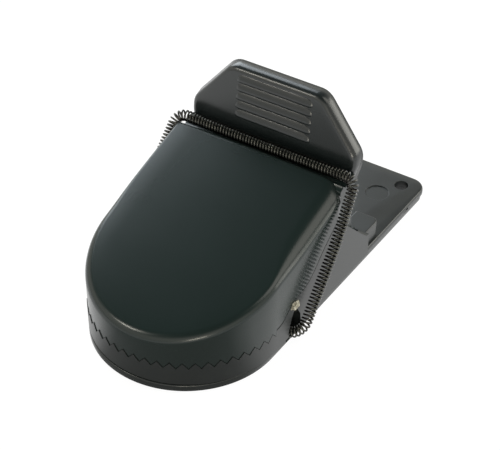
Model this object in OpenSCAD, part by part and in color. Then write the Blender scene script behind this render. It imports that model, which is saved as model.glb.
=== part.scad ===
// Plastic jaw mouse trap: a domed upper jaw closes on a flat base under a long
// wrap-round tension spring. Pressing the upright tab back opens the jaw.
// Axes: +X right, +Y to the rear, +Z up. The origin lies under the middle of the base.

/* [Base] */
// Width of the base across its bottom cover
base_w = 51; // [48:0.5:56]
// Length of the base from its round front to its rear edge
base_len = 106.9; // [104:0.5:120]
// Thickness of the bottom cover
cover_t = 2; // [1.8:0.1:2.6]
// Thickness of the floor of the base shell
floor_t = 2; // [1.8:0.1:2.6]
// Thickness of the base shell's walls and side cheeks
wall_t = 2.2; // [1.8:0.1:2.4]
// How far the bottom cover stands out past the walls at the round front
flange_out = 0.3; // [0.2:0.1:0.5]
// How much further out the flat sides are than the round front's end
side_out = 0.9; // [0.7:0.1:1]
// Height of the shadow groove between the cover and the shell
groove_h = 0.3; // [0.2:0.1:1]
// Depth of the shadow groove
groove_in = 0.8; // [0.7:0.1:1.2]
// Radius of the two rear corners
corner_r = 4.5; // [3:0.5:8]

/* [Screw holes and marks] */
// Radius of the two mounting holes
screw_r = 2; // [1.5:0.1:2.5]
// Distance between the two mounting holes
screw_span = 40.2; // [36:0.2:41]
// Distance of the mounting holes from the rear edge
screw_in = 5.1; // [4.6:0.1:7]
// Radius of the two shallow round recesses
mark_r = 3.35; // [2:0.05:4]
// Depth of the shallow round recesses
mark_depth = 0.4; // [0.2:0.1:0.8]
// Distance between the middles of the two recesses
mark_span = 32; // [26:0.5:33]
// Distance of the recesses from the rear edge
mark_in = 11.9; // [11.5:0.1:14]

/* [Seam and cheeks] */
// Height of the seam between the jaw and the base around the front
seam_z = 8.2; // [7.8:0.1:9]
// Height of the interlocking teeth
tooth_h = 1.8; // [1.2:0.1:2]
// Number of teeth around the round front
tooth_count = 26; // [20:1:30]
// Clearance between the jaw and the base along the seam
seam_gap = 0.4; // [0.35:0.05:0.6]
// Height of the wall just behind the spring pocket
step_z = 13.2; // [12.5:0.1:14]
// Distance of the cheek's peak behind the middle of the round front
peak_back = 30.6; // [29.5:0.1:31]
// Height of the cheek's peak
peak_z = 23.3; // [22:0.1:23.6]
// Distance of the cheek's rear foot behind the middle of the round front
foot_back = 46.8; // [46.6:0.1:48.5]
// Length of the stop block behind each cheek
block_l = 7; // [5:0.5:9]
// Width of the stop block
block_w = 7; // [5.5:0.5:8]
// Height of the stop block above the platform
block_h = 5; // [3.5:0.1:5]

/* [Upper jaw] */
// Height of the hood's top plane above the middle of the round front
hood_z = 23.05; // [22.5:0.1:24]
// Slope of the hood's top, rising to the rear
hood_rise = 16.6; // [15.5:0.1:17]
// Wall thickness of the hood
hood_t = 2.6; // [2.2:0.1:2.8]
// Radius of the hood's rounded top edge
hood_round = 2; // [1:0.5:3]
// Distance of the hood's rear edge behind the middle of the round front
hood_back = 33.4; // [33:0.1:33.8]
// Radius of the channel that holds the spring
channel_r = 2.1; // [2:0.05:2.3]

/* [Tab] */
// Top of the tab above the table
tab_top = 51.9; // [49:0.1:56]
// Height at which the tab is widest
tab_wide_z = 36; // [35:0.1:37]
// Half width of the tab at its top corners
tab_top_half = 14.6; // [12:0.1:18]
// Distance of the tab's face behind the middle of the round front
tab_back = 38.5; // [38.2:0.1:39]
// Slope of the tab's face
tab_tilt = 83; // [81:0.5:85]
// Depth of the tab from its face to the rear edge of its sides
tab_depth = 3.6; // [3.4:0.1:4]
// Wall thickness of the tab
tab_t = 1.8; // [1.4:0.1:2.2]
// Radius of the rounded edge around the tab's face
tab_round = 2.6; // [1:0.2:3]
// Number of finger ribs
rib_count = 5; // [3:1:6]
// Distance from one finger rib to the next
rib_pitch = 2.7; // [2.2:0.05:2.7]
// Distance of the highest finger rib below the tab's top
rib_in = 2.5; // [2:0.1:3.5]
// Half length of the finger ribs
rib_half = 11.5; // [8:0.5:12.5]
// Radius of the finger ribs
rib_r = 0.85; // [0.6:0.05:1]
// How far the finger ribs stand out
rib_out = 0.5; // [0.3:0.05:0.6]

/* [Hinge and latch] */
// Distance of the jaw hinge behind the middle of the round front
hinge_back = 43; // [42.9:0.05:43.2]
// Height of the jaw hinge
hinge_z = 8.5; // [8.4:0.1:8.8]
// Radius of the jaw hinge pin
pin_r = 1; // [0.8:0.05:1.2]
// Running clearance around the hinge pins
run_gap = 0.05; // [0.03:0.01:0.08]
// Radius of the hinge bosses on the jaw's ears
boss_r = 3.3; // [2.8:0.1:3.4]
// Thickness of the jaw's ears
ear_t = 2.2; // [1.8:0.1:2.6]
// Clearance between an ear and the cheek beside it
ear_gap = 0.4; // [0.3:0.05:0.5]
// Distance of the sear bar from the jaw hinge
sear_reach = 11; // [10.6:0.1:11.2]
// Radius of the sear bar
sear_r = 1; // [0.8:0.1:1.1]

/* [Trip pedal] */
// Distance of the pedal hinge behind the middle of the round front
pedal_back = 27; // [26.6:0.1:27.4]
// Height of the pedal hinge
pedal_z = 6.6; // [6.5:0.1:6.9]
// Half width of the pedal plate
pedal_half = 16.5; // [14:0.5:17]
// Distance that the pedal plate reaches in front of the middle of the round front
pedal_front = 8; // [5:0.5:11]
// Thickness of the pedal plate
pedal_t = 1.4; // [1.2:0.1:1.6]
// Radius of the pedal's hinge pin
pedal_pin_r = 0.8; // [0.6:0.05:1]
// Half width of the pedal's catch
catch_half = 5; // [4:0.5:5.4]
// Thickness of the pedal's catch
catch_t = 2.4; // [2:0.1:3]

/* [Bait cup] */
// Outer radius of the bait cup
cup_r = 7; // [6:0.5:8]
// Wall thickness of the bait cup
cup_t = 1.1; // [0.8:0.1:1.4]
// Height of the bait cup's rim above the table
cup_z = 9; // [8:0.1:10]
// Distance of the bait cup behind the middle of the round front
cup_back = 5; // [3:0.5:7]
// Width of the bait cup's foot ring
cup_foot = 1.6; // [1.2:0.1:2]

/* [Spring] */
// Diameter of the spring wire
wire_d = 0.5; // [0.45:0.01:0.55]
// Outer diameter of the spring's curls
coil_d = 3.15; // [3:0.05:3.3]
// Number of curls in the spring
curl_count = 88; // [60:1:90]
// Distance of the spring's cross run behind the middle of the round front
spring_back = 35; // [34.8:0.05:35.2]
// Height of the spring's cross run
spring_z = 34; // [33.9:0.05:34.3]
// Distance of each spring leg outside the radius of the round front
leg_out = 3.4; // [3.2:0.1:4.5]
// Slope of the spring's legs
leg_slope = 50; // [49.5:0.1:50.5]
// Distance down the slope from the cross run to the spring's lowest point
leg_l = 41.3; // [40.8:0.1:41.5]
// Radius of the spring's bend at the shoulders of the jaw
shoulder_bend = 3.2; // [3.1:0.1:3.6]
// Radius of the spring's bend into its pocket
pocket_bend = 4.6; // [4:0.1:5]
// Radius of each anchor pin
anchor_r = 0.9; // [0.7:0.05:1.1]
// Distance of each anchor pin inside the radius of the round front
anchor_in = 4; // [3.8:0.1:4.2]
// Distance of the pocket's front face behind the middle of the round front
pocket_back = 6.3; // [6:0.1:6.5]
// Length of the pocket
pocket_l = 7; // [6.5:0.1:7.5]
// Height of the pocket's roof
pocket_z = 8.2; // [7:0.1:8.4]

/* [Hidden] */
// Overlap between joined pieces, clearance of a pressed-in pin, clearance of a loose fit
eps = 0.05;
fit_gap = 0.02;
snug = 0.2;
// Base and seam
base_r = base_w / 2;
body_r = base_r - flange_out;
side_r = body_r + side_out;
arc_y = base_r - base_len / 2;
rear_y = base_len - base_r;
floor_z = cover_t + floor_t;
cheek_in = body_r - wall_t;
ear_out = cheek_in - ear_gap;
wall_top = seam_z - tooth_h / 2;
tooth_w = 2 * (body_r - hood_t) * sin(90 / tooth_count);
seam_side = 0.15;
step_back = pocket_back + 1.7;
housing_out = body_r - hood_t - seam_gap;
notch_back = 14.5;
notch_y = rear_y - notch_back;
notch_w = 2.5;
notch_in = 1.2;
stop_round = 1;
lug_r = 2.2;
// Jaw and tab
tab_half = base_r;
shoulder_in = 1.4;
channel_z = spring_z + 0.1;
tab_lean = 1 / tan(tab_tilt);
tab_foot_z = peak_z - 3.9;
tab_neck_z = peak_z + 0.7;
rib_low = tab_top - rib_in - (rib_count - 1) * rib_pitch;
web_t = 2;
barrel_r = 2.6;
// Sear and pedal
arm_in = catch_half + 1;
arm_t = 2;
sear_dip = 10.5;
catch_reach = sear_reach + sear_r + snug;
catch_end = 50;
catch_root = 30;
catch_start = 12;
plate_z = pedal_z - 1;
barrel_half = pedal_half - 1;
lug_in = pedal_half + 0.7;
lug_t = 2;
pedal_rib_x = 12;
pedal_rib_t = 1.2;
pedal_rib_h = 0.7;
// Bait cup and pegs
cup_seat = 0.4;
cup_floor = 1.2;
peg_r = 1.5;
peg_front_x = 11;
peg_front_y = -16;
// Spring and its seats
leg_x = body_r + leg_out;
anchor_x = body_r - anchor_in;
coil_r = (coil_d - wire_d) / 2;
shoulder_x = leg_x - shoulder_bend;
pocket_x = leg_x - pocket_bend;
pocket_in = anchor_x - anchor_r - 0.3;
anchor_back = spring_back - leg_l * cos(leg_slope);
anchor_low = 0.8;
anchor_top = pocket_z + 1.2;
cover_edge = anchor_x + anchor_r + 0.3;
arc_steps = 36;

// Moves a piece drawn about the middle of the round front into the part's frame
module placed() {
    translate([0, arc_y, 0]) children();
}

// Extrudes an outline drawn in Y and Z between two places along X
module across(x0, x1) {
    translate([x0, 0, 0]) rotate([90, 0, 90]) linear_extrude(x1 - x0) children();
}

// Draws a piece on both sides of the middle plane
module both() {
    children();
    mirror([1, 0, 0]) children();
}

// Outline with a round front and two rounded rear corners
module plan(half, rear, corner) {
    circle(r = half, $fn = 120);
    translate([-half, 0]) square([2 * half, rear - corner]);
    translate([corner - half, 0]) square([2 * (half - corner), rear]);
    for (side = [-1, 1])
        translate([side * (half - corner), rear - corner]) circle(r = corner, $fn = 48);
}

function unit(v) = v / norm(v);

// Closed solid through a stack of outlines that have the same number of points
module loft(rings) {
    count = len(rings[0]);
    last = len(rings) - 1;
    polyhedron(
        points = [for (ring = rings) each ring],
        faces = concat(
            [[for (k = [0 : count - 1]) k]],
            [for (i = [0 : last - 1]) for (k = [0 : count - 1])
                let (a = i * count + k, b = i * count + (k + 1) % count)
                each [[a, a + count, b + count], [a, b + count, b]]],
            [[for (k = [count - 1 : -1 : 0]) last * count + k]]));
}

// Top of the cheek, from where it leaves the front wall's height up to the peak
function cheek_line() = concat(
    [[step_back - 4.1, wall_top], [step_back - 3.2, wall_top + 0.4],
     [step_back - 2.4, wall_top + 1.2], [step_back - 1.6, wall_top + 2.3],
     [step_back - 0.9, wall_top + 3.6], [step_back, step_z]],
    [for (i = [1 : 8])
        let (t = i / 8)
        [step_back + (peak_back - step_back) * t, step_z + (peak_z - step_z) * pow(t, 1.8)]]);

// One row of radial teeth round the front, from a wall's inside to its outside
module teeth(low, inside, outside) {
    for (i = [0 : tooth_count - 1])
        rotate(180 + (i + 0.5) * 180 / tooth_count)
            translate([inside, 0, low])
                rotate([90, 0, 90])
                    linear_extrude(outside - inside)
                        polygon([[-tooth_w / 2, 0], [tooth_w / 2, 0], [0, tooth_h]]);
}

module screw_holes() {
    for (side = [-1, 1])
        translate([side * screw_span / 2, rear_y - screw_in, -1])
            cylinder(r = screw_r, h = floor_z + 2, $fn = 40);
}

module peg_places() {
    both() translate([peg_front_x, peg_front_y, 0]) children();
    both() translate([body_r - block_w / 2, foot_back + block_l / 2, 0]) children();
}

// Outline of the walls: an arc that meets the flat sides behind the round front's middle
module wall_plan(inset) {
    translate([0, side_out]) plan(side_r - inset, rear_y - side_out - inset, corner_r - inset);
}

// Space for the spring's end in the side of the base
module pocket_space(from_x) {
    both() translate([from_x, pocket_back, -1])
        cube([side_r - from_x + 1, pocket_l, pocket_z + 1]);
}

// Block round the pocket, kept clear of the hood's wall where that comes down beside it
module pocket_housing() {
    inner = pocket_in - wall_t;
    translate([inner, pocket_back - wall_t, floor_z - eps]) {
        cube([cheek_in - inner + eps, pocket_l + 2 * wall_t, wall_top - floor_z]);
        cube([housing_out - inner, pocket_l + 2 * wall_t, anchor_top + 0.6 - floor_z]);
    }
}

module front_wall() {
    difference() {
        union() {
            translate([0, 0, floor_z - eps])
                linear_extrude(wall_top - floor_z + eps) wall_plan(0);
            intersection() {
                teeth(wall_top - eps, cheek_in - 1, side_r + 1);
                linear_extrude(seam_z + tooth_h) wall_plan(0);
            }
        }
        translate([0, 0, -1]) linear_extrude(seam_z + tooth_h + 2) plan(cheek_in, base_w, 1);
        translate([-base_w, side_out, -1]) cube([2 * base_w, base_w * 2, seam_z + tooth_h + 2]);
    }
}

module cheek() {
    block_top = floor_z + block_h;
    difference() {
        across(cheek_in, side_r)
            polygon(concat([[side_out, floor_z - eps], [side_out, wall_top]], cheek_line(),
                           [[peak_back + 1, peak_z - 0.2], [foot_back, block_top],
                            [foot_back + eps, floor_z - eps]]));
        translate([cheek_in - 1, hinge_back, hinge_z]) rotate([0, 90, 0])
            cylinder(r = pin_r + fit_gap, h = 1 + wall_t * 0.65, $fn = 40);
    }
}

module stop_block() {
    translate([body_r - block_w, foot_back, floor_z - eps]) linear_extrude(block_h + eps) {
        square([block_w, block_l - stop_round]);
        square([block_w - stop_round, block_l]);
        translate([block_w - stop_round, block_l - stop_round]) circle(r = stop_round, $fn = 32);
    }
}

module pedal_lug() {
    difference() {
        across(lug_in, lug_in + lug_t) {
            translate([pedal_back, pedal_z]) circle(r = lug_r, $fn = 40);
            translate([pedal_back - lug_r, floor_z - eps])
                square([2 * lug_r, pedal_z - floor_z + eps]);
        }
        translate([lug_in - 1, pedal_back, pedal_z]) rotate([0, 90, 0])
            cylinder(r = pedal_pin_r + fit_gap, h = lug_t + 2, $fn = 40);
    }
}

module base_shell() {
    color("#33383a") placed() difference() {
        union() {
            translate([0, 0, cover_t]) linear_extrude(groove_h + eps) wall_plan(groove_in);
            translate([0, 0, cover_t + groove_h]) linear_extrude(floor_t - groove_h) wall_plan(0);
            front_wall();
            both() cheek();
            both() stop_block();
            both() pedal_lug();
            both() pocket_housing();
            both() translate([peg_front_x, peg_front_y, floor_z - eps])
                cylinder(r = peg_r + 1.4, h = 2, $fn = 40);
        }
        pocket_space(pocket_in);
        screw_holes();
        both() translate([anchor_x, anchor_back, 0])
            cylinder(r = anchor_r + fit_gap, h = anchor_top + fit_gap, $fn = 32);
        both() translate([mark_span / 2, rear_y - mark_in, floor_z - mark_depth])
            cylinder(r = mark_r, h = 2, $fn = 60);
        both() translate([base_r - notch_in, notch_y, cover_t - 1]) cube([3, notch_w, notch_w - 0.3]);
        translate([0, cup_back, 0]) cylinder(r = cup_r + snug, h = floor_z + 1, $fn = 80);
        peg_places() translate([0, 0, cover_t - 1])
            cylinder(r = peg_r + fit_gap, h = floor_t + 2.2, $fn = 32);
    }
}

module bottom_cover() {
    color("#2b2f30") placed() difference() {
        union() {
            linear_extrude(cover_t) plan(base_r, rear_y, corner_r);
            peg_places() translate([0, 0, cover_t - eps])
                cylinder(r = peg_r, h = floor_t + 0.8, $fn = 32);
        }
        pocket_space(cover_edge);
        screw_holes();
        both() translate([anchor_x, anchor_back, anchor_low])
            cylinder(r = anchor_r + fit_gap, h = cover_t, $fn = 32);
        translate([0, cup_back, -1]) cylinder(r = cup_r + snug, h = cover_t + 2, $fn = 80);
        translate([0, cup_back, -1])
            cylinder(r = cup_r + cup_foot + snug, h = 1 + cup_seat + cup_floor + 0.1, $fn = 80);
    }
}

// One level of the hood: its outline inset, and cut by the plane that far below the top
function hood_ring(inset, drop) =
    let (r = side_r - inset,
         flat = concat([for (i = [0 : arc_steps]) let (a = 180 + 180 * i / arc_steps)
                            [r * cos(a), side_out + r * sin(a)]],
                       [[r, hood_back], [-r, hood_back]]))
    [for (p = flat) [p[0], p[1], hood_z - drop + p[1] * tan(hood_rise)]];

function at_height(ring, z) = [for (p = ring) [p[0], p[1], z]];

module hood_form() {
    loft(concat([at_height(hood_ring(0, 0), wall_top + seam_gap)],
                [for (turn = [0 : 30 : 90])
                    hood_ring(hood_round * (1 - cos(turn)), hood_round * (1 - sin(turn)))]));
}

// Hollow of the hood: straight walls under a sloping ceiling
module hood_hollow() {
    intersection() {
        linear_extrude(tab_top) {
            circle(r = body_r - hood_t, $fn = 80);
            translate([hood_t - body_r, 0]) square([2 * (body_r - hood_t), hood_back - web_t]);
        }
        across(-base_w, base_w)
            polygon([[-base_w, wall_top - 2], [-base_w, hood_z - hood_t - base_w * tan(hood_rise)],
                     [base_w, hood_z - hood_t + base_w * tan(hood_rise)], [base_w, wall_top - 2]]);
    }
}

module hood() {
    difference() {
        hood_form();
        hood_hollow();
        teeth(wall_top + seam_gap - eps, cheek_in - 2, side_r + 1);
        across(-base_w, base_w)
            polygon(concat([[step_back - 4.1 - seam_side, 0]],
                           [for (p = cheek_line()) [p[0] - seam_side, p[1] + seam_gap]],
                           [[hood_back + 1, peak_z + seam_gap], [hood_back + 1, 0]]));
    }
}

// Outline of the tab and its neck in X and Z, from the foot of its right side up
tab_side = [
    [ear_out - ear_t / 2, tab_foot_z],
    [ear_out - ear_t / 2, tab_neck_z],
    [tab_half - 1.4, tab_neck_z + 4],
    [tab_half - 0.3, tab_wide_z - 2.5],
    [tab_half, tab_wide_z],
    [tab_half - 0.4, tab_wide_z + 2.2],
    [tab_half - 1.5, tab_wide_z + 4.2],
    [tab_top_half + 3.2, tab_top - 4.4],
    [tab_top_half + 0.9, tab_top - 2],
    [tab_top_half - 1, tab_top - 0.6],
    [tab_top_half - 3, tab_top]];
tab_plan = concat(tab_side, [for (i = [len(tab_side) - 1 : -1 : 0]) [-tab_side[i][0], tab_side[i][1]]]);

// Moves every side of a rounded outline inwards by the same distance
function inset_plan(plan, inset) =
    let (count = len(plan))
    [for (i = [0 : count - 1])
        let (p = plan[i],
             e1 = unit(p - plan[(i + count - 1) % count]),
             e2 = unit(plan[(i + 1) % count] - p),
             n1 = [-e1[1], e1[0]],
             n2 = [-e2[1], e2[0]])
        p + inset * (n1 + n2) / (1 + n1 * n2)];

// One level of the tab, at a depth behind its face
function tab_ring(depth, inset) =
    [for (p = inset_plan(tab_plan, inset))
        [p[0], tab_back + depth + (p[1] - tab_wide_z) * tab_lean, p[1]]];

module tab() {
    difference() {
        loft(concat([tab_ring(tab_depth, 0)],
                    [for (turn = [0 : 30 : 90])
                        tab_ring(tab_round * (1 - sin(turn)), tab_round * (1 - cos(turn)))]));
        translate([0, tab_back, tab_wide_z]) rotate([tab_tilt, 0, 0])
            translate([0, 0, -tab_depth - 1]) linear_extrude(tab_depth + 1 - tab_t)
                polygon([for (p = inset_plan(tab_plan, tab_t)) [p[0], p[1] - tab_wide_z]]);
    }
    for (i = [0 : rib_count - 1]) {
        z = rib_low + i * rib_pitch;
        y = tab_back + (z - tab_wide_z) * tab_lean;
        across(-rib_half, rib_half)
            polygon([[y + 0.5, z - rib_r], [y, z - rib_r], [y - rib_out, z - rib_r / 3],
                     [y - rib_out, z + rib_r / 3], [y + 0.1, z + rib_r], [y + 0.6, z + rib_r]]);
    }
}

// Bridge from the hood to the tab, with the spring's channel across it
module shoulder() {
    top_z = hood_z + (hood_back - eps) * tan(hood_rise);
    difference() {
        across(shoulder_in - body_r, body_r - shoulder_in)
            polygon([[hood_back - web_t, top_z - 4.2], [hood_back - web_t, top_z - 1],
                     [hood_back - 0.6, top_z - 0.15], [tab_back - 0.4, top_z + 0.3],
                     [tab_back + 0.6, top_z + 0.3], [tab_back + 0.6, top_z - 3.4],
                     [spring_back, channel_z - channel_r - 1.8]]);
        translate([-base_w, spring_back, channel_z]) rotate([0, 90, 0])
            cylinder(r = channel_r, h = 2 * base_w, $fn = 48);
    }
}

module ear() {
    across(ear_out - ear_t, ear_out) {
        translate([hinge_back, hinge_z]) circle(r = boss_r, $fn = 48);
        polygon([[hinge_back, hinge_z + boss_r], [hinge_back - 0.5, tab_neck_z + 3.4],
                 [peak_back + 1, tab_neck_z + 4.3], [hood_back - 9, peak_z - 1],
                 [hood_back - 11, peak_z - 2.5], [hinge_back - boss_r, hinge_z]]);
    }
}

// Bar that the pedal's catch holds, on two arms from the hinge barrel
module sear() {
    y = hinge_back - sear_reach * cos(sear_dip);
    z = hinge_z - sear_reach * sin(sear_dip);
    translate([-arm_in - arm_t, y, z]) rotate([0, 90, 0])
        cylinder(r = sear_r, h = 2 * (arm_in + arm_t), $fn = 32);
    both() across(arm_in, arm_in + arm_t) {
        translate([y, z]) circle(r = sear_r + 0.2, $fn = 32);
        polygon([[y, z + sear_r + 0.2], [hinge_back - 1, hinge_z + barrel_r - 0.4],
                 [hinge_back - 1, hinge_z - barrel_r + 0.4], [y, z - sear_r - 0.2]]);
    }
}

module upper_jaw() {
    color("#262d2d") placed() difference() {
        union() {
            hood();
            tab();
            shoulder();
            both() ear();
            sear();
            translate([-ear_out, hinge_back, hinge_z]) rotate([0, 90, 0])
                cylinder(r = barrel_r, h = 2 * ear_out, $fn = 48);
        }
        translate([-base_w, hinge_back, hinge_z]) rotate([0, 90, 0])
            cylinder(r = pin_r + run_gap, h = 2 * base_w, $fn = 40);
    }
}

module hinge_pin() {
    half = cheek_in + wall_t * 0.6;
    color("#8a8d90") placed() translate([-half, hinge_back, hinge_z]) rotate([0, 90, 0])
        cylinder(r = pin_r, h = 2 * half, $fn = 40);
}

module pedal_pin() {
    half = lug_in + lug_t;
    color("#8a8d90") placed() translate([-half, pedal_back, pedal_z]) rotate([0, 90, 0])
        cylinder(r = pedal_pin_r, h = 2 * half, $fn = 40);
}

// Point on a circle round the jaw hinge, at an angle above the line to the front
function about_hinge(radius, angle) = [hinge_back - radius * cos(angle), hinge_z + radius * sin(angle)];

module trip_pedal() {
    rear = pedal_back + 1.2;
    color("#3a4042") placed() difference() {
        union() {
            translate([-pedal_half, 0, plate_z]) cube([2 * pedal_half, pedal_back, pedal_t]);
            translate([0, 0, plate_z]) linear_extrude(pedal_t) intersection() {
                circle(r = pedal_half, $fn = 80);
                translate([-pedal_half, -pedal_front]) square([2 * pedal_half, pedal_front + 1]);
            }
            translate([-barrel_half, pedal_back, pedal_z]) rotate([0, 90, 0])
                cylinder(r = 2.1, h = 2 * barrel_half, $fn = 40);
            across(-catch_half, catch_half)
                polygon(concat(
                    [[rear - catch_t, plate_z + 0.4], [rear, plate_z + 0.4]],
                    [for (a = [catch_start : (catch_end - catch_start) / 8 : catch_end]) about_hinge(catch_reach, a)],
                    [for (a = [catch_end : (catch_root - catch_end) / 5 : catch_root])
                        about_hinge(catch_reach + catch_t, a)],
                    [[rear - catch_t, hinge_z + 5]]));
            both() translate([pedal_rib_x - pedal_rib_t / 2, -2, plate_z + pedal_t - eps])
                cube([pedal_rib_t, pedal_back, pedal_rib_h]);
        }
        translate([0, cup_back, 0]) cylinder(r = cup_r + 1.2, h = 2 * cup_z, $fn = 80);
        translate([-base_w, pedal_back, pedal_z]) rotate([0, 90, 0])
            cylinder(r = pedal_pin_r + run_gap, h = 2 * base_w, $fn = 40);
    }
}

module bait_cup() {
    color("#4a5052") placed() translate([0, cup_back, 0]) rotate_extrude($fn = 80)
        polygon([[0, cup_seat], [cup_r + cup_foot, cup_seat],
                 [cup_r + cup_foot, cup_seat + cup_floor], [cup_r, cup_seat + cup_floor],
                 [cup_r, cup_z], [cup_r - cup_t, cup_z],
                 [cup_r - cup_t, cup_seat + cup_floor], [0, cup_seat + cup_floor]]);
}

module anchor_pin(side) {
    color("#8a8d90") placed() translate([side * anchor_x, anchor_back, anchor_low + fit_gap])
        cylinder(r = anchor_r, h = anchor_top - anchor_low - fit_gap, $fn = 32);
}

// The spring's centre line lies in one sloping plane. From the middle of the cross
// run it goes out, round the shoulder, down the leg, round into the pocket and in.
quarter = PI / 2;
run_a = shoulder_x;
run_b = run_a + quarter * shoulder_bend;
run_c = run_b + leg_l - shoulder_bend - pocket_bend;
run_d = run_c + quarter * pocket_bend;
run_e = run_d + pocket_x - anchor_x - anchor_r - eps;
fade = 1.6;
tip = run_e - 3 * wire_d;
curl_pitch = 2 * tip / curl_count;
step_count = 8 * curl_count;

// Place along the half route: distance out from the middle, distance down the slope
// and the direction of travel in degrees
function half_route(s) =
    s < run_a ? [s, 0, 0] :
    s < run_b ? let (a = (s - run_a) / shoulder_bend * 180 / PI)
        [run_a + shoulder_bend * sin(a), shoulder_bend * (1 - cos(a)), a] :
    s < run_c ? [leg_x, shoulder_bend + s - run_b, 90] :
    s < run_d ? let (a = (s - run_c) / pocket_bend * 180 / PI)
        [pocket_x + pocket_bend * cos(a), leg_l - pocket_bend + pocket_bend * sin(a), 90 + a] :
    [pocket_x - (s - run_d), leg_l, 180];

down = [0, -cos(leg_slope), -sin(leg_slope)];
across_plane = [0, sin(leg_slope), -cos(leg_slope)];

function route_point(s) =
    let (h = half_route(abs(s)))
    [0, spring_back, spring_z] + [sign(s) * h[0], 0, 0] + h[1] * down;

function route_side(s) =
    let (h = half_route(abs(s)))
    [-sign(s) * sin(h[2]), 0, 0] + cos(h[2]) * down;

// Radius of the curls, which shrinks to nothing at the two ends of the wire
function curl_r(s) = coil_r * min(1, max(0, (tip - abs(s)) / fade));

function wire_point(s) =
    let (turn = 360 * s / curl_pitch)
    route_point(s) + curl_r(s) * (cos(turn) * route_side(s) + sin(turn) * across_plane);

wire_stations = concat([-run_e, -run_e + wire_d],
                       [for (i = [0 : step_count]) -tip + 2 * tip * i / step_count],
                       [run_e - wire_d, run_e]);
wire_points = [for (s = wire_stations) wire_point(s)];
wire_last = len(wire_points) - 1;

function wire_ring(i) =
    let (before = wire_points[max(i - 1, 0)],
         after = wire_points[min(i + 1, wire_last)],
         along = unit(after - before),
         out = unit(cross(along, across_plane + [0.02, 0, 0])),
         up = cross(along, out))
    [for (a = [0 : 60 : 300]) wire_points[i] + wire_d / 2 * (cos(a) * out + sin(a) * up)];

// Least gap between one curl and the next, from points half a turn to two turns apart
wire_gap = min([for (i = [0 : wire_last - 16])
    for (j = [i + 5 : i + 16]) norm(wire_points[i] - wire_points[j])]) - wire_d;
echo(str("least gap of the spring wire to itself: ", wire_gap, " mm"));

module main_spring() {
    rings = [for (i = [0 : wire_last]) each wire_ring(i)];
    sides = [for (i = [0 : wire_last - 1]) for (k = [0 : 5])
        let (a = 6 * i + k, b = 6 * i + (k + 1) % 6)
        each [[a, b, b + 6], [a, b + 6, a + 6]]];
    last = 6 * wire_last;
    ends = concat([for (k = [1 : 4]) [0, k + 1, k]],
                  [for (k = [1 : 4]) [last, last + k, last + k + 1]]);
    color("#55595a") placed() polyhedron(points = rings, faces = concat(sides, ends));
}

base_shell();
bottom_cover();
upper_jaw();
hinge_pin();
main_spring();
anchor_pin(-1);  // anchor_pin_left
anchor_pin(1);  // anchor_pin_right
trip_pedal();
pedal_pin();
bait_cup();
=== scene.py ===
import math
import random

import bmesh
import bpy
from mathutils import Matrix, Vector


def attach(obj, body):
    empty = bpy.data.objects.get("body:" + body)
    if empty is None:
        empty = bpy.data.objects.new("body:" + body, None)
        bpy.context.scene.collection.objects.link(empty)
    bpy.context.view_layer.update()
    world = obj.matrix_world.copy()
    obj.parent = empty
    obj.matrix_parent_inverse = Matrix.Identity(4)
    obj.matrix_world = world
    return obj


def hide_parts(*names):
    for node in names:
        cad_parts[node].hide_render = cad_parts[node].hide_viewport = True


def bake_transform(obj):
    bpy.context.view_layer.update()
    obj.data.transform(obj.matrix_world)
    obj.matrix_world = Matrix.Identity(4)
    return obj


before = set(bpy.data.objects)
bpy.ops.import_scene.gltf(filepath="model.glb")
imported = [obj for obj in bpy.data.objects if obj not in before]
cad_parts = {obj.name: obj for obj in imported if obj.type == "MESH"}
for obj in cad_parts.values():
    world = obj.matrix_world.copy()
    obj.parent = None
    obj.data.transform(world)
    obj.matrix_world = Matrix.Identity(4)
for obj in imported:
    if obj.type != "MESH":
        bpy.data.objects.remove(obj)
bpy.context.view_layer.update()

# Sizes in millimetres about the middle of the base's round front, as in the part's source.
ARC_Y = -27.95          # that middle in the row frame
SIDE_R = 26.1           # half width of walls and hood
SIDE_Y = 0.9            # where their straight sides begin
COVER_R = 25.5
REAR_Y = 81.4
CORNER_R = 4.5
FOOT_Z = 3.8            # foot of what stands on the plate, a little sunk in it
SCREW_AT = (20.1, 76.3)
SCREW_R = 2.0
DISC_AT = (16, 69.5)
DISC_R = 3.35
CUP_Y = 5
CUP_R = 7.2
POCKET_Y = (6.6, 13.3)
HINGE = (43.0, 8.5)
PEDAL_AXIS = (27, 6.6)

TEETH = 26
ARC_STEPS = 4 * TEETH
WALL_TOP = 7.3          # valleys of the zigzag
TOOTH_H = 1.8
SEAM_GAP = 0.16         # upright gap between hood and wall
SEAM_SIDE = 0.22        # the same gap measured along the sides
PEAK = (29.6, 24.8)     # highest point of the cheeks

HOOD_Z = 23.65          # height of the hood's top at y = 0
HOOD_SLOPE = math.tan(math.radians(16.6))
HOOD_BACK = 33.45
HOOD_ROUND = 2.0
HOOD_LIP = 0.6
HOOD_CROWN = 0.45
HOOD_WALL = 2.2
CUT_FROM = 30.6         # where the cut of the rear right corner begins
CUT_SHARE = 0.073

TAB_BACK = 38.5         # front face of the tab where it is widest
TAB_WIDE_Z = 36.0
TAB_TOP = 51.9
TAB_LEAN = 1 / math.tan(math.radians(83))
TAB_DEPTH = 3.6
TAB_DRAFT = 0.4
TAB_ROUND = 1.5
RIBS = 5
RIB_Z = 38.05
RIB_STEP = 2.5

WIRE_R = 0.25
COIL_D = 3.15
TURNS = 156
LEG_L = 41.9
LEG_SLOPE = math.radians(50.7)
SPRING_AT = (35, 34.8)  # y and z of the run across the crease
SPRING_END = 22.15      # x of the wire's ends, on the anchor pins
TAIL = 1.5              # straight wire before the first turn
LEAN_REACH = 19         # how far down the leg it leans in against the hood


def place(x, y, z):
    return Vector((x / 1000, (y + ARC_Y) / 1000, z / 1000))


# ---------------------------------------------------------------- materials

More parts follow.
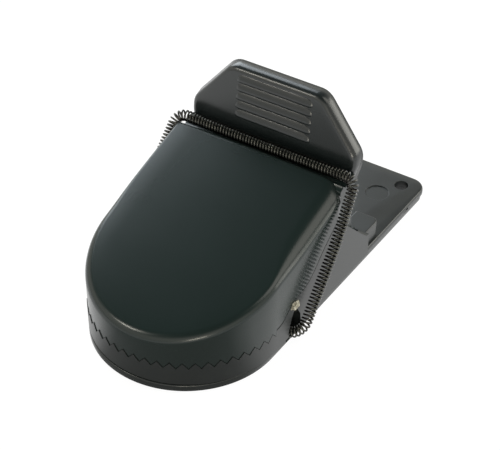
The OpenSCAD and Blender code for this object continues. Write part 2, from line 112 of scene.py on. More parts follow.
def colour_ramp(nodes, *stops):
    """A colour ramp through stops, each a position and a colour, in rising order."""
    ramp = nodes.new("ShaderNodeValToRGB")
    elements = ramp.color_ramp.elements
    for element, (at, colour) in zip(elements, (stops[0], stops[-1])):
        element.position = at
        element.color = (*colour, 1)
    for at, colour in stops[1:-1]:
        elements.new(at).color = (*colour, 1)
    return ramp


def maths(tree, kind, operation, *values):
    """A maths node's outputs, with each of its inputs set to a value or fed from a socket."""
    node = tree.nodes.new(kind)
    node.operation = operation
    for slot, value in zip(node.inputs, values):
        if isinstance(value, bpy.types.NodeSocket):
            tree.links.new(value, slot)
        else:
            slot.default_value = value
    return node.outputs


def material(name, colour, dark, roughness, metallic=0.0, grain=2200.0, bump=0.04,
             patch=180.0, rough_vary=0.06, specular=0.5, specks=None):
    """A procedural surface: clouded colour and roughness, a fine grain and, where given, specks.

    specks holds how many cells to a metre, a speck's share of its cell and the specks' colour."""
    m = bpy.data.materials.new(name)
    m.use_nodes = True
    nodes, links = m.node_tree.nodes, m.node_tree.links
    bsdf = nodes["Principled BSDF"]
    bsdf.inputs["Metallic"].default_value = metallic
    bsdf.inputs["Specular IOR Level"].default_value = specular
    coords = nodes.new("ShaderNodeTexCoord")
    clouds = nodes.new("ShaderNodeTexNoise")
    clouds.inputs["Scale"].default_value = patch
    clouds.inputs["Detail"].default_value = 4.0
    links.new(coords.outputs["Object"], clouds.inputs["Vector"])
    ramp = colour_ramp(nodes, (0.32, dark), (0.7, colour))
    links.new(clouds.outputs["Fac"], ramp.inputs["Fac"])
    colour_out = ramp.outputs["Color"]
    if specks:
        cells = nodes.new("ShaderNodeTexVoronoi")
        cells.inputs["Scale"].default_value = specks[0]
        links.new(coords.outputs["Object"], cells.inputs["Vector"])
        near = maths(m.node_tree, "ShaderNodeMath", "LESS_THAN", cells.outputs["Distance"], specks[1])
        mix = nodes.new("ShaderNodeMix")
        mix.data_type = "RGBA"
        mix.inputs["B"].default_value = (*specks[2], 1)
        links.new(near[0], mix.inputs["Factor"])
        links.new(colour_out, mix.inputs["A"])
        colour_out = mix.outputs["Result"]
    links.new(colour_out, bsdf.inputs["Base Color"])
    spread = nodes.new("ShaderNodeMapRange")
    spread.inputs["To Min"].default_value = roughness - rough_vary
    spread.inputs["To Max"].default_value = roughness + rough_vary
    links.new(clouds.outputs["Fac"], spread.inputs["Value"])
    links.new(spread.outputs["Result"], bsdf.inputs["Roughness"])
    fine = nodes.new("ShaderNodeTexNoise")
    fine.inputs["Scale"].default_value = grain
    fine.inputs["Detail"].default_value = 3.0
    links.new(coords.outputs["Object"], fine.inputs["Vector"])
    bumps = nodes.new("ShaderNodeBump")
    bumps.inputs["Strength"].default_value = bump
    bumps.inputs["Distance"].default_value = 0.0002
    links.new(fine.outputs["Fac"], bumps.inputs["Height"])
    links.new(bumps.outputs["Normal"], bsdf.inputs["Normal"])
    return m


MAT_JAW = material("jaw_moulding", (0.0115, 0.0215, 0.0195), (0.0107, 0.02, 0.018), 0.24, bump=0.025,
                   patch=60.0, rough_vary=0.008, specks=(62.0, 0.012, (0.45, 0.45, 0.4)))
MAT_TAB = material("tab_moulding", (0.0105, 0.0155, 0.0155), (0.0085, 0.0125, 0.0125), 0.27, bump=0.03,
                   patch=60.0, rough_vary=0.02, specular=0.7)
MAT_BASE = material("base_moulding", (0.023, 0.0275, 0.0275), (0.018, 0.022, 0.022), 0.33, bump=0.03,
                    rough_vary=0.03)
MAT_COVER = material("cover_moulding", (0.026, 0.031, 0.031), (0.019, 0.023, 0.023), 0.26, bump=0.03)
MAT_SPRING = material("spring_wire", (0.1, 0.1, 0.087), (0.036, 0.036, 0.032), 0.15, metallic=1.0,
                      grain=5000.0, bump=0.02, patch=700.0, rough_vary=0.05)
MAT_PIN = material("pin_ground", (0.5, 0.5, 0.5), (0.36, 0.36, 0.36), 0.3, metallic=1.0,
                   grain=6000.0, bump=0.03, patch=900.0)
MAT_INNER = material("inner_moulding", (0.04, 0.045, 0.046), (0.03, 0.034, 0.035), 0.45)
# pale colour of the small lumpy spot on the right side wall
MAT_PALE_SPOT = material("pale_spot", (0.62, 0.6, 0.5), (0.3, 0.28, 0.2), 0.4, grain=3500.0,
                    bump=0.5, patch=1500.0)


# ---------------------------------------------------------------- mesh helpers

def piece(name, points, faces, mat, body, slot, smooth=True, replaces=()):
    mesh = bpy.data.meshes.new(name)
    mesh.from_pydata([place(*p) for p in points], [], faces)
    bm = bmesh.new()
    bm.from_mesh(mesh)
    bmesh.ops.remove_doubles(bm, verts=bm.verts, dist=1e-7)
    bmesh.ops.recalc_face_normals(bm, faces=bm.faces)
    bm.to_mesh(mesh)
    bm.free()
    mesh.polygons.foreach_set("use_smooth", [smooth] * len(mesh.polygons))
    mesh.materials.append(mat)
    obj = bpy.data.objects.new(name, mesh)
    bpy.context.scene.collection.objects.link(obj)
    if body:
        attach(obj, body)
    if replaces:
        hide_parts(*replaces)
    return obj


def loft(rings, closed=True, caps=True):
    """Points and faces through rings of equal length."""
    count = len(rings[0])
    points = [p for ring in rings for p in ring]
    faces = []
    for i in range(len(rings) - 1):
        for k in range(count if closed else count - 1):
            a, b = i * count + k, i * count + (k + 1) % count
            faces.append((a, b, b + count, a + count))
    if caps:
        faces.append(tuple(range(count))[::-1])
        faces.append(tuple(range((len(rings) - 1) * count, len(rings) * count)))
    return points, faces


def join(*parts):
    points, faces = [], []
    for p, f in parts:
        base = len(points)
        points += p
        faces += [tuple(base + k for k in face) for face in f]
    return points, faces


def prism_x(outline, x0, x1):
    return loft([[(x0, y, z) for y, z in outline], [(x1, y, z) for y, z in outline]])


def prism_z(outline, z0, z1):
    return loft([[(x, y, z0) for x, y in outline], [(x, y, z1) for x, y in outline]])


def mirrored(part):
    points, faces = part
    return [(-x, y, z) for x, y, z in points], [tuple(reversed(f)) for f in faces]


def both(part):
    """The part and its mirror image on the other side."""
    return join(part, mirrored(part))


def arc(cx, cy, r, a0, a1, steps):
    return [(cx + r * math.cos(math.radians(a0 + (a1 - a0) * i / steps)),
             cy + r * math.sin(math.radians(a0 + (a1 - a0) * i / steps)))
            for i in range(steps + 1)]


def rounded(outline, radius, steps=5):
    """A closed outline with its corners rounded; radius is one value or one for each corner."""
    count = len(outline)
    out = []
    for i, p in enumerate(outline):
        r = radius[i] if isinstance(radius, (list, tuple)) else radius
        p = Vector(p)
        a, b = Vector(outline[i - 1]) - p, Vector(outline[(i + 1) % count]) - p
        if r <= 0:
            out.append(tuple(p))
            continue
        half = a.angle(b) / 2
        t = min(r / math.tan(half), a.length * 0.49, b.length * 0.49)
        s, e = p + a.normalized() * t, p + b.normalized() * t
        for k in range(steps + 1):
            u = k / steps
            out.append(tuple((1 - u) ** 2 * s + 2 * u * (1 - u) * p + u * u * e))
    return out


def plan(half, rear, corner, middle=0.0):
    """The base's outline: round in front, with small rear corners."""
    return (arc(0, middle, half, 180, 360, ARC_STEPS)
            + arc(half - corner, rear - corner, corner, 0, 90, 12)
            + arc(corner - half, rear - corner, corner, 90, 180, 12))


def bevel(obj, width, segments=3, angle=38):
    """Rounds every edge sharper than the angle, by a width in millimetres."""
    m = obj.modifiers.new("edges", "BEVEL")
    m.width = width / 1000
    m.segments = segments
    m.limit_method = "ANGLE"
    m.angle_limit = math.radians(angle)
    m.harden_normals = True
    m.miter_outer = "MITER_ARC"
    return obj


def cut(obj, cutters):
    """Takes the cutters' solids out of the object, and keeps the result as its mesh."""
    mesh = bpy.data.meshes.new("cutter")
    points, faces = join(*cutters)
    mesh.from_pydata([place(*p) for p in points], [], faces)
    bm = bmesh.new()
    bm.from_mesh(mesh)
    bmesh.ops.recalc_face_normals(bm, faces=bm.faces)
    bm.to_mesh(mesh)
    bm.free()
    tool = bpy.data.objects.new("cutter", mesh)
    bpy.context.scene.collection.objects.link(tool)
    m = obj.modifiers.new("cut", "BOOLEAN")
    m.object = tool
    m.solver = "EXACT"
    m.use_self = True
    bpy.context.view_layer.update()
    made = bpy.data.meshes.new_from_object(obj.evaluated_get(bpy.context.evaluated_depsgraph_get()))
    obj.modifiers.clear()
    obj.data = made
    bpy.data.objects.remove(tool)
    made.polygons.foreach_set("use_smooth", [True] * len(made.polygons))
    return obj


def disc(x, y, r, z0, z1, steps=40):
    return prism_z(arc(x, y, r, 0, 360 - 360 / steps, steps - 1), z0, z1)


def discs(x, y, r, z0, z1, steps=40):
    """One disc on each side of the middle."""
    return [disc(x, y, r, z0, z1, steps), disc(-x, y, r, z0, z1, steps)]


def boxes(x0, x1, y0, y1, z0, z1):
    """One box on each side of the middle."""
    return both(prism_z([(x0, y0), (x1, y0), (x1, y1), (x0, y1)], z0, z1))


def rod_x(y, z, r, x0, x1, steps=40):
    return prism_x(arc(y, z, r, 0, 360 - 360 / steps, steps - 1), x0, x1)


# ---------------------------------------------------------------- seam line

def tooth(angle):
    """Height of the zigzag at an angle round the front, from 0 to 1."""
    u = (angle - 180) / 180 * TEETH % 1
    return 1 - abs(2 * u - 1)


def cheek_top(y):
    """Height of the seam along the straight sides."""
    line = [(0.9, 7.3), (1.2, 9.1), (3.3, 9.15), (5.1, 10.1), (7.1, 11.6), (9.0, 12.9), (11.5, 13.1),
            (14.0, 13.4), (16.0, 14.1), (17.5, 15.0), (19.1, 16.4), (20.8, 18.1), (23.0, 20.0),
            (25.7, 22.0), (28.0, 23.8), PEAK]
    for (y0, z0), (y1, z1) in zip(line, line[1:]):
        if y <= y1:
            return z0 + (z1 - z0) * (y - y0) / (y1 - y0)
    return PEAK[1]


ROWS = [33.45, 33.35, 33.1, 32.8, 32.2, 31.4, 30.6, 29, 27, 25, 23, 21, 19, 17, 15, 13, 11, 9.4,
          8.6, 8.0, 7.55, 7.1, 6.75, 6.4, 6.0, 5.6, 5.2, 4.8, 4.3, 3.9, 2.6, 1.2]


def hood_columns():
    """Stations round the hood: side of the middle, place along it and the arc's angle."""
    left = [(-1, y, None) for y in ROWS]
    front = [(0, 0, 180 + 180 * i / ARC_STEPS) for i in range(ARC_STEPS + 1)]
    right = [(1, y, None) for y in reversed(ROWS)]
    return left + front + right


def hood_plane(y):
    """Top of the hood, with its rear edge rounded down into the crease."""
    drop = 0.0
    if y > HOOD_BACK - HOOD_LIP:
        drop = HOOD_LIP - math.sqrt(max(0.0, HOOD_LIP * HOOD_LIP - (y - HOOD_BACK + HOOD_LIP) ** 2))
    return HOOD_Z + y * HOOD_SLOPE - drop


def column_point(column, inset):
    """A station's place in plan, moved in from the side."""
    side, y, angle = column
    r = SIDE_R - inset
    if side:
        return side * r, y
    a = math.radians(angle)
    return r * math.cos(a), SIDE_Y + r * math.sin(a)


def seam_under(column):
    """Lower edge of the hood, just over the wall's top."""
    side, y, angle = column
    if side:
        return cheek_top(y + SEAM_SIDE) + SEAM_GAP + 0.25 * max(0.0, min(1.0, (5.1 - y) / 1.8))
    return WALL_TOP + TOOTH_H * tooth(angle) + SEAM_GAP


def hood_point(column, inset):
    """A point of the hood's plan: a little inside the wall in front, its rear right corner cut."""
    side, y, angle = column
    if not side:
        fade = max(0.0, min(1.0, (angle - 180) / 25, (360 - angle) / 25))
        inset += 0.2 * fade * (1 - inset / SIDE_R)
    x, y = column_point(column, inset)
    if side > 0 and y > CUT_FROM:
        x *= 1 - CUT_SHARE * (y - CUT_FROM) / (HOOD_BACK - CUT_FROM)
    return x, y


def hood_edge(column):
    """How far in and how far down the rounded edge reaches: wide on the right, sharp on the left."""
    side, y, _ = column
    grown = 1 - math.exp(-(y / 9) ** 2) if side else 0
    if side < 0:
        return HOOD_ROUND - 1.1 * grown, HOOD_ROUND - 1.1 * grown
    return HOOD_ROUND + 3.6 * grown, HOOD_ROUND + 1.2 * grown


def hood_top(x, y):
    """The hood's top, a little crowned towards its middle."""
    out = abs(x) if y > SIDE_Y else math.hypot(x, y - SIDE_Y)
    return hood_plane(y) + HOOD_CROWN * (1 - (out / SIDE_R) ** 2)


def make_hood():
    """Hollow hood: rings up the wall, round the edge and in over the top, closed at the rear."""
    columns = hood_columns()
    rings = []
    for part in (0, 0.12, 0.35, 0.65, 1):
        ring = []
        for c in columns:
            x, y = hood_point(c, 0)
            low, high = seam_under(c), hood_top(x, y) - hood_edge(c)[1]
            ring.append((x, y, low + (high - low) * part))
        rings.append(ring)
    for i in range(1, 11):
        t = math.radians(9 * i)
        ring = []
        for c in columns:
            wide, tall = hood_edge(c)
            x, y = hood_point(c, wide * (1 - math.cos(t)))
            ring.append((x, y, hood_top(x, y) - tall * (1 - math.sin(t))))
        rings.append(ring)
    for half in (19.5, 17, 13, 9, 5, 2, 0):
        rings.append([(*(xy := hood_point(c, SIDE_R - half)), hood_top(*xy)) for c in columns])
    points, faces = loft(rings, closed=False, caps=False)
    count = len(columns)
    left = [i * count for i in range(len(rings))]
    right = [i * count + count - 1 for i in range(len(rings) - 1)]
    faces.append(tuple(left + right[::-1]))
    hood = piece("jaw_hood", points, faces, MAT_JAW, "jaw", "jaw_plastic", replaces=("upper_jaw",))
    thick = hood.modifiers.new("wall", "SOLIDIFY")
    thick.thickness = HOOD_WALL / 1000
    thick.offset = -1
    thick.use_even_offset = True
    thick.use_rim = True
    bevel(hood, 0.12, 2, 50)
    return hood


# ---------------------------------------------------------------- tab

def tab_ring(inset, back):
    """One level of the tab: its outline with every side moved in and its corners rounded."""
    half = [(22.3, 19.4, 0), (22.3, 24.0, 4), (24.0, 28.2, 8), (25.5, 34.6, 9), (25.5, 38.4, 5.2),
            (14.06, TAB_TOP, 5.4)]
    full = half + [(-x, z, r) for x, z, r in reversed(half)]
    count = len(full)
    moved, radius = [], []
    for i, (x, z, r) in enumerate(full):
        before, here, after = (Vector(full[(i + k) % count][:2]) for k in (-1, 0, 1))
        e1, e2 = (here - before).normalized(), (after - here).normalized()
        n1, n2 = Vector((-e1.y, e1.x)), Vector((-e2.y, e2.x))
        moved.append(tuple(here + inset * (n1 + n2) / (1 + n1.dot(n2))))
        outward = (e1.x * e2.y - e1.y * e2.x) > 0
        radius.append(max(r - inset, 0.5) if r and outward else r + inset if r else 0.02)
    points = rounded(moved, radius, 7)
    k = next(i for i in range(len(points) - 1)
             if points[i][0] > 0 > points[i + 1][0] and points[i][1] > 30)
    x, z = points[k]
    span = [(x + (points[k + 1][0] - x) * t / 8, z) for t in range(1, 8)]
    points = points[:k + 1] + span + points[k + 1:]
    return [(x, TAB_BACK + back + (z - TAB_WIDE_Z) * TAB_LEAN, z) for x, z in points]


def make_tab():
    rings = [tab_ring(1.8, 1.8), tab_ring(1.8, TAB_DEPTH), tab_ring(0.15, TAB_DEPTH),
             tab_ring(0, TAB_DEPTH - 0.15)]
    for i in range(0, 11):
        t = math.radians(9 * i)
        rings.append(tab_ring(TAB_DRAFT + TAB_ROUND * (1 - math.cos(t)), TAB_ROUND * (1 - math.sin(t))))
    rings.append(tab_ring(3.4, 0))
    return piece("jaw_tab", *loft(rings), MAT_TAB, "jaw", "jaw_plastic", replaces=("upper_jaw",))


def make_ribs():
    """Saw-tooth ribs across the tab's front, rounded off at their ends."""
    stations = [-11.5, -11.4, -11.1, -10.6, -9.8, -6, 0, 6, 9.8, 10.6, 11.1, 11.4, 11.5]
    section = [(0.3, -0.55), (-0.3, -0.5), (-0.52, -0.3), (-0.55, 0.0), (-0.42, 0.5), (-0.1, 1.2),
               (0.12, 1.75), (0.35, 1.9)]
    parts = []
    for i in range(RIBS):
        z0 = RIB_Z + RIB_STEP * i
        y0 = TAB_BACK + (z0 - TAB_WIDE_Z) * TAB_LEAN
        rings = []
        for x in stations:
            end = max(0.0, (abs(x) - 9.8) / 1.7)
            k = math.sqrt(max(0.02, 1 - end * end))
            rings.append([(x, y0 + 0.05 + out * k, z0 + up * k) for out, up in section])
        parts.append(loft(rings))
    return piece("jaw_ribs", *join(*parts), MAT_TAB, "jaw", "jaw_plastic", replaces=("upper_jaw",))


# ---------------------------------------------------------------- crease, ears and latch

def make_shoulder():
    """Crease between hood and tab, with the channel that the spring lies in."""
    channel = [(35 + 2.1 * math.cos(math.radians(a)), 34.1 + 2.1 * math.sin(math.radians(a)))
               for a in range(207, 349, 10)]
    outline = ([(31.6, 28.6), (31.6, 32.0), (32.6, 32.55)] + channel
               + [(37.4, 33.5), (38.0, 33.45), (39.0, 33.4), (39.0, 29.8), (35, 29.6)])
    body = prism_x(outline, -25.2, 25.2)
    shoulder = piece("jaw_crease", *body, MAT_JAW, "jaw", "jaw_plastic", replaces=("upper_jaw",))
    return bevel(shoulder, 0.35, 3, 40)


def make_ears():
    """Side plates that carry the jaw on its hinge pin."""
    plate = rounded([(46.0, 8.3), (45.3, 10.6), (43.1, 11.9), (42.4, 27.4), (31.6, 28.3), (24.4, 22.3),
                     (22.4, 20.8), (39.7, 6.4), (43.0, 5.2), (45.6, 6.3)],
                    [1.5, 1.5, 1, 1, 1, 0.5, 0.5, 2.5, 1.5, 1.5], 4)
    ears = piece("jaw_ears", *both(prism_x(plate, 20.4, 22.6)), MAT_JAW, "jaw", "jaw_plastic",
                 replaces=("upper_jaw",))
    cut(ears, [rod_x(*HINGE, 1.05, -30, 30)])
    return bevel(ears, 0.25, 2, 40)


def make_latch():
    """Barrel on the hinge pin and the sear that the pedal's catch holds."""
    dip = math.radians(10.5)
    y, z = HINGE[0] - 11 * math.cos(dip), HINGE[1] - 11 * math.sin(dip)
    barrel = piece("jaw_barrel", *rod_x(*HINGE, 2.6, -22.5, 22.5), MAT_JAW, "jaw", "jaw_plastic",
                   replaces=("upper_jaw",))
    cut(barrel, [rod_x(*HINGE, 1.05, -30, 30)])
    bevel(barrel, 0.2, 2, 40)
    arm = rounded([(y - 1.1, z + 1.0), (y - 1.1, z - 1.0), (y + 1, z - 1.3), (40.9, 6.4), (41.6, 10.5),
                   (y + 1, z + 1.3)], 0.5, 3)
    sear = piece("jaw_sear", *join(rod_x(y, z, 1.0, -8, 8), both(prism_x(arm, 6, 8))), MAT_JAW,
                 "jaw", "jaw_plastic", replaces=("upper_jaw",))
    bevel(sear, 0.15, 2, 50)


# ---------------------------------------------------------------- base

def make_plate():
    """Base plate with its shadow groove, screw holes, recessed discs, cup bore and pockets."""
    def level(inset, z):
        return [(x, y, z) for x, y in plan(SIDE_R - inset, REAR_Y - inset, CORNER_R - inset, SIDE_Y)]

    edge = [level(0.04 + 0.55 * (1 - math.cos(t)), 3.2 + 0.8 * math.sin(t))
            for t in (math.radians(15 * i) for i in range(7))]
    groove = [level(0.5, 1.9), level(0.45, 2.08), level(0.12, 2.14), level(0.04, 2.3)]
    points, faces = loft(groove + edge)
    plate = piece("base_plate", points, faces, MAT_BASE, "base", "base_plastic",
                  replaces=("base_shell",))
    cut(plate, discs(*SCREW_AT, SCREW_R, -1, 6) + discs(*DISC_AT, DISC_R, 3.75, 6, 60)
        + [disc(0, CUP_Y, CUP_R, -1, 6, 80), boxes(20, 27, *POCKET_Y, -1, 6),
           boxes(24.7, 27, 66.9, 69.4, 1, 3.2)])
    return bevel(plate, 0.14, 2, 50)


def make_wall():
    """Front wall and the two cheeks as one strip, with its toothed and rising upper edge."""
    def top_of(column):
        side, y, angle = column
        if not side:
            return WALL_TOP + TOOTH_H * tooth(angle)
        return cheek_top(y) if y <= PEAK[0] else max(9.0, 54.4 - y)

    sides = [46.8, 45.8, 44, 42, 40, 38, 36, 34, 32, 31.1] + ROWS[6:]
    columns = ([(-1, y, None) for y in sides]
               + [(0, 0, 180 + 180 * i / ARC_STEPS) for i in range(ARC_STEPS + 1)]
               + [(1, y, None) for y in reversed(sides)])

    def ring(inset, part):
        return [(*column_point(c, inset), 2.3 + (top_of(c) - 2.3) * part) for c in columns]

    rings = ([ring(0, part) for part in (0, 0.25, 0.5, 0.9, 1)]
             + [ring(3.1, part) for part in (1, 0.5, 0)])
    points, faces = loft(rings, closed=False, caps=False)
    count = len(columns)
    for k in range(count - 1):
        faces.append((k, k + 1, (len(rings) - 1) * count + k + 1, (len(rings) - 1) * count + k))
    faces.append(tuple(i * count for i in range(len(rings))))
    faces.append(tuple(i * count + count - 1 for i in reversed(range(len(rings)))))
    wall = piece("base_wall", points, faces, MAT_BASE, "base", "base_plastic",
                 replaces=("base_shell",))
    mouth = rounded([(6.7, 1.0), (12.8, 1.0), (12.2, 6.6), (10.6, 9.4), (9.2, 9.6), (8.2, 8.0),
                     (7.0, 4.6)], 0.5, 3)
    cut(wall, [both(prism_x(mouth, 20, 28)), rod_x(*HINGE, 1.02, -24.4, 24.4)])
    return bevel(wall, 0.15, 2, 40)


def make_blocks():
    """Stop blocks behind the cheeks."""
    outline = [(18.2, 46.3), (25.2, 46.3)] + arc(23.5, 52.1, 1.7, 0, 90, 10) + [(18.2, 53.8)]
    blocks = piece("base_blocks", *both(prism_z(outline, FOOT_Z, 9.0)), MAT_BASE, "base",
                   "base_plastic", replaces=("base_shell",))
    return bevel(blocks, 0.4, 3, 35)


def make_pale_spot():
    """A small pale lumpy spot on the right side, above the spring's pocket."""
    bm = bmesh.new()
    bmesh.ops.create_icosphere(bm, subdivisions=3, radius=1.0)
    dice = random.Random(7)
    for v in bm.verts:
        k = 1 + 0.22 * math.sin(5.1 * v.co.x + 3.7 * v.co.z) * math.cos(4.3 * v.co.y + 1.9) \
            + dice.uniform(-0.1, 0.1)
        v.co = Vector((v.co.x * k, v.co.y * 1.45 * k, v.co.z * (1.1 if v.co.z > 0 else 0.9) * k))
    points = [(26.2 + v.co.x, 9.2 + v.co.y + 0.15 * v.co.z, 11.5 + v.co.z) for v in bm.verts]
    faces = [tuple(v.index for v in f.verts) for f in bm.faces]
    bm.free()
    return piece("base_pale_spot", points, faces, MAT_PALE_SPOT, "base", "base_plastic", smooth=False,
                 replaces=("base_shell",))


def make_inner():
    """Pocket housings, pedal lugs and peg bosses."""
    housing = join(prism_z([(18.0, 4.3), (23.2, 4.3), (23.2, 15.3), (18.0, 15.3)], FOOT_Z, 7.3),
                   prism_z([(18.0, 4.3), (22.2, 4.3), (22.2, 15.3), (18.0, 15.3)], 7.0, 10.0))
    inner = piece("base_pockets", *both(housing), MAT_BASE, "base", "base_plastic",
                  replaces=("base_shell",))
    cut(inner, [both(prism_x([(6.3, -1), (13.3, -1), (13.3, 8.2), (6.3, 8.2)], 20, 27))])
    bevel(inner, 0.2, 2, 40)
    lug = rounded([(24.8, FOOT_Z), (29.2, FOOT_Z), (29.2, 7.6), (28.2, 8.8), (25.8, 8.8), (24.8, 7.6)],
                  [0, 0, 0.8, 0.8, 0.8, 0.8], 3)
    lugs = piece("base_lugs", *both(prism_x(lug, 17.2, 19.2)), MAT_BASE, "base", "base_plastic",
                 replaces=("base_shell",))
    cut(lugs, [rod_x(*PEDAL_AXIS, 0.82, -30, 30)])
    bevel(lugs, 0.15, 2, 40)
    bosses = piece("base_bosses", *both(disc(11, -16, 2.9, FOOT_Z, 5.95)), MAT_BASE, "base",
                   "base_plastic", replaces=("base_shell",))
    bevel(bosses, 0.2, 2, 40)


def make_cover():
    """Lower layer under the shadow groove."""
    def level(inset, z):
        return [(x, y, z) for x, y in plan(COVER_R - inset, REAR_Y - inset, CORNER_R - inset)]

    edge = [level(0.4 * (1 - math.cos(t)), 1.4 + 0.6 * math.sin(t))
            for t in (math.radians(15 * i) for i in range(7))]
    points, faces = loft([level(0.35, 0.0), level(0.08, 0.1), level(0, 0.35)] + edge)
    cover = piece("cover_plate", points, faces, MAT_COVER, "base", "cover_plastic",
                  replaces=("bottom_cover",))
    cut(cover, discs(*SCREW_AT, SCREW_R, -1, 6)
        + [disc(0, CUP_Y, 8.8, -1, 1.7, 80), disc(0, CUP_Y, CUP_R, -1, 6, 80),
           boxes(22.4, 27, *POCKET_Y, 0.5, 6)])
    return bevel(cover, 0.14, 2, 50)


# ---------------------------------------------------------------- spring

def spring_side(leg_x, bend_a, bend_b, lean):
    """Half of the spring's route, and its length: out, round the shoulder, down and in.

    The leg leans in against the hood's side at its upper end."""
    corner_x, pocket_x = leg_x - bend_a, leg_x - bend_b
    a = corner_x
    b = a + math.pi / 2 * bend_a
    c = b + LEG_L - bend_a - bend_b
    d = c + math.pi / 2 * bend_b

    def at(s):
        x, along, turn = straight(s)
        pull = lean * max(0.0, 1 - along / LEAN_REACH) ** 1.4 * min(1.0, s / a)
        return x - pull, along, turn

    def straight(s):
        if s < a:
            return s, 0, 0
        if s < b:
            t = (s - a) / bend_a
            return corner_x + bend_a * math.sin(t), bend_a * (1 - math.cos(t)), t
        if s < c:
            return leg_x, bend_a + s - b, math.pi / 2
        if s < d:
            t = (s - c) / bend_b
            return (pocket_x + bend_b * math.cos(t), LEG_L - bend_b + bend_b * math.sin(t),
                    math.pi / 2 + t)
        return pocket_x - (s - d), LEG_L, math.pi

    return at, d + pocket_x - SPRING_END


def make_spring():
    """The whole spring as one wound wire, from pin to pin."""
    down = Vector((0, -math.cos(LEG_SLOPE), -math.sin(LEG_SLOPE)))
    normal = Vector((0, math.sin(LEG_SLOPE), -math.cos(LEG_SLOPE)))
    left, left_l = spring_side(28.05, 2.9, 4.1, 1.0)
    right, right_l = spring_side(28.59, 2.6, 4.6, 1.15)
    coil = (COIL_D - 2 * WIRE_R) / 2
    low, high = TAIL - left_l, right_l - TAIL
    pitch = (high - low) / TURNS
    steps = TURNS * 16
    stations = ([-left_l, 0.5 - left_l] + [low + (high - low) * i / steps for i in range(steps + 1)]
                + [right_l - 0.5, right_l])
    path = []
    for s in stations:
        sign = -1 if s < 0 else 1
        x, along, turn = (left if s < 0 else right)(abs(s))
        middle = Vector((sign * x, *SPRING_AT)) + along * down
        side = Vector((-sign * math.sin(turn), 0, 0)) + math.cos(turn) * down
        r = coil * min(1, max(0, min(s - low, high - s) / 1.2))
        phase = 2 * math.pi * s / pitch
        path.append(middle + r * (math.cos(phase) * side + math.sin(phase) * normal))
    rings = []
    up = Vector((0.1, 0.2, 1))
    for i, p in enumerate(path):
        ahead = (path[min(i + 1, len(path) - 1)] - path[max(i - 1, 0)]).normalized()
        out = (up - ahead * up.dot(ahead)).normalized()
        up = out
        other = ahead.cross(out)
        rings.append([tuple(p + WIRE_R * (math.cos(k * math.pi / 4) * out
                                          + math.sin(k * math.pi / 4) * other)) for k in range(8)])
    spring = piece("coil_spring", *loft(rings), MAT_SPRING, None, "spring_steel",
                   replaces=("main_spring",))
    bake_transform(spring)
    return spring


make_hood()
make_tab()
make_ribs()
make_shoulder()
make_ears()
make_latch()
make_plate()
make_wall()
make_blocks()
make_pale_spot()
make_inner()
make_cover()
make_spring()

for node, mat in (("hinge_pin", MAT_PIN), ("anchor_pin_left", MAT_PIN), ("anchor_pin_right", MAT_PIN),
                  ("pedal_pin", MAT_PIN), ("trip_pedal", MAT_INNER), ("bait_cup", MAT_INNER)):
    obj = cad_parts[node]
    obj.data.materials.clear()
    obj.data.materials.append(mat)

# ---------------------------------------------------------------- camera, floor and light

SENSOR = 36
PHOTO_W = 500           # pixels
FOCAL = 1461.46         # pixels, as fitted to the photo
FLOOR_HALF = 3
FLOOR_Z = -0.0002

scene = bpy.context.scene
cam = bpy.data.cameras.new("view")
cam.sensor_width = SENSOR
cam.lens = FOCAL * SENSOR / PHOTO_W
cam_obj = bpy.data.objects.new("view", cam)
scene.collection.objects.link(cam_obj)
cam_obj.location = (0.16633, -0.25133, 0.25494)
aim = Vector((-0.003103, 0.005447, 0.008)) - cam_obj.location
cam_obj.rotation_euler = aim.to_track_quat("-Z", "Y").to_euler()
scene.camera = cam_obj

floor_mesh = bpy.data.meshes.new("floor")
floor_mesh.from_pydata([(x * FLOOR_HALF, y * FLOOR_HALF, FLOOR_Z)
                        for x, y in ((-1, -1), (1, -1), (1, 1), (-1, 1))], [], [(0, 1, 2, 3)])
floor = bpy.data.objects.new("floor", floor_mesh)
scene.collection.objects.link(floor)
floor_mat = bpy.data.materials.new("floor")
floor_mat.use_nodes = True
tree = floor_mat.node_tree
nodes, links = tree.nodes, tree.links
nodes.remove(nodes["Principled BSDF"])
diffuse = nodes.new("ShaderNodeBsdfDiffuse")
diffuse.inputs["Color"].default_value = (0.13, 0.13, 0.13, 1)
glow = nodes.new("ShaderNodeEmission")
path = nodes.new("ShaderNodeLightPath")
ground = nodes.new("ShaderNodeTexCoord")

# What the part mirrors of the floor, with a painted shadow: dim just in front of it, full elsewhere and
# further off.
from_arc = maths(tree, "ShaderNodeVectorMath", "SUBTRACT", ground.outputs["Object"],
                 (0, ARC_Y / 1000, FLOOR_Z))["Vector"]
heading = maths(tree, "ShaderNodeVectorMath", "NORMALIZE", from_arc)["Vector"]
forward = maths(tree, "ShaderNodeVectorMath", "DOT_PRODUCT", heading, (0.35, -0.937, 0))["Value"]
# painted shadow: the floor's glow in the part's reflections drops in front of it, though the camera
# sees that floor white
front_shadow_ramp = colour_ramp(nodes, (0.4, (1, 1, 1)), (0.7, (0.3, 0.3, 0.3)), (0.95, (0.22, 0.22, 0.22)))
links.new(forward, front_shadow_ramp.inputs["Fac"])
away = nodes.new("ShaderNodeMapRange")
away.inputs["From Min"].default_value = 0.065
away.inputs["From Max"].default_value = 0.1
links.new(maths(tree, "ShaderNodeVectorMath", "LENGTH", from_arc)["Value"], away.inputs["Value"])
shown = maths(tree, "ShaderNodeMath", "MAXIMUM", front_shadow_ramp.outputs["Color"], away.outputs["Result"])[0]
gloss = maths(tree, "ShaderNodeMath", "MULTIPLY", path.outputs["Is Glossy Ray"], shown)[0]

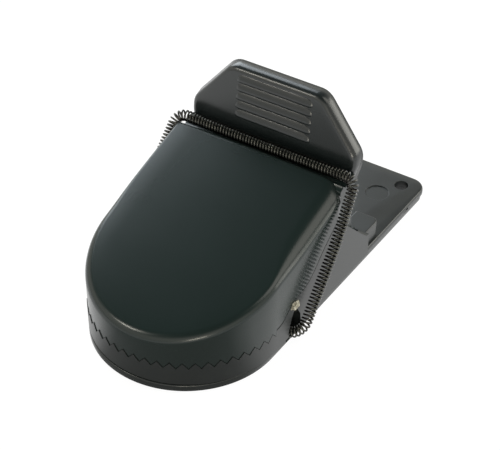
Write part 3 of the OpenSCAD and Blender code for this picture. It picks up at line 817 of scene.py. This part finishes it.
# White where the camera sees it; the diffuse part keeps the part's shadow.
seen = maths(tree, "ShaderNodeMath", "MAXIMUM", path.outputs["Is Camera Ray"],
             path.outputs["Is Transmission Ray"])[0]
level = maths(tree, "ShaderNodeMath", "MULTIPLY_ADD", seen, 0.94, gloss)[0]
links.new(level, glow.inputs["Strength"])
add = nodes.new("ShaderNodeAddShader")
links.new(diffuse.outputs[0], add.inputs[0])
links.new(glow.outputs[0], add.inputs[1])
links.new(add.outputs[0], nodes["Material Output"].inputs["Surface"])
floor_mesh.materials.append(floor_mat)

# The room: white to the camera, and to the part a warm bright band under a dark ceiling.
world = bpy.data.worlds.new("studio")
scene.world = world
world.use_nodes = True
wn, wl = world.node_tree.nodes, world.node_tree.links
back = wn["Background"]
wpath = wn.new("ShaderNodeLightPath")
wcoord = wn.new("ShaderNodeTexCoord")
wsplit = wn.new("ShaderNodeSeparateXYZ")
wl.new(wcoord.outputs["Generated"], wsplit.inputs[0])
room = colour_ramp(wn, (0.0, (0.4, 0.39, 0.36)), (0.1, (0.8, 0.78, 0.72)), (0.26, (1.0, 0.97, 0.89)),
                   (0.46, (1.0, 0.97, 0.89)), (0.6, (0.4, 0.39, 0.37)), (0.76, (0.06, 0.065, 0.07)))
wl.new(wsplit.outputs["Z"], room.inputs["Fac"])
wmix = wn.new("ShaderNodeMix")
wmix.data_type = "RGBA"
wl.new(wpath.outputs["Is Camera Ray"], wmix.inputs["Factor"])
wl.new(room.outputs["Color"], wmix.inputs["A"])
wmix.inputs["B"].default_value = (1, 1, 1, 1)
wl.new(wmix.outputs["Result"], back.inputs["Color"])
back.inputs["Strength"].default_value = 1.0


def lamp(name, power, size, position, colour):
    """A soft lamp of a size and place in metres, turned to the part."""
    data = bpy.data.lights.new(name, "AREA")
    data.shape = "RECTANGLE"
    data.size, data.size_y = size
    data.energy = power
    data.color = colour
    obj = bpy.data.objects.new(name, data)
    scene.collection.objects.link(obj)
    obj.location = position
    obj.rotation_euler = (Vector((0, 0, 0.015)) - Vector(position)).to_track_quat("-Z", "Y").to_euler()


lamp("soft_left", 5.8, (0.66, 0.60), (-0.68, 0.45, 0.57), (0.86, 0.94, 1.0))
lamp("soft_right", 3.2, (0.62, 0.50), (0.67, 0.62, 0.27), (1.0, 0.99, 0.92))
lamp("soft_over", 1.7, (0.5, 0.5), (0.47, 0.2, 0.76), (1.0, 0.96, 0.88))
lamp("soft_front", 1.2, (0.25, 0.12), (0.50, -0.80, 0.13), (1.0, 0.94, 0.8))
lamp("key_spot", 1.1, (0.16, 0.06), (-0.41, -0.52, 0.60), (1.0, 0.96, 0.86))

scene.view_settings.view_transform = "Standard"
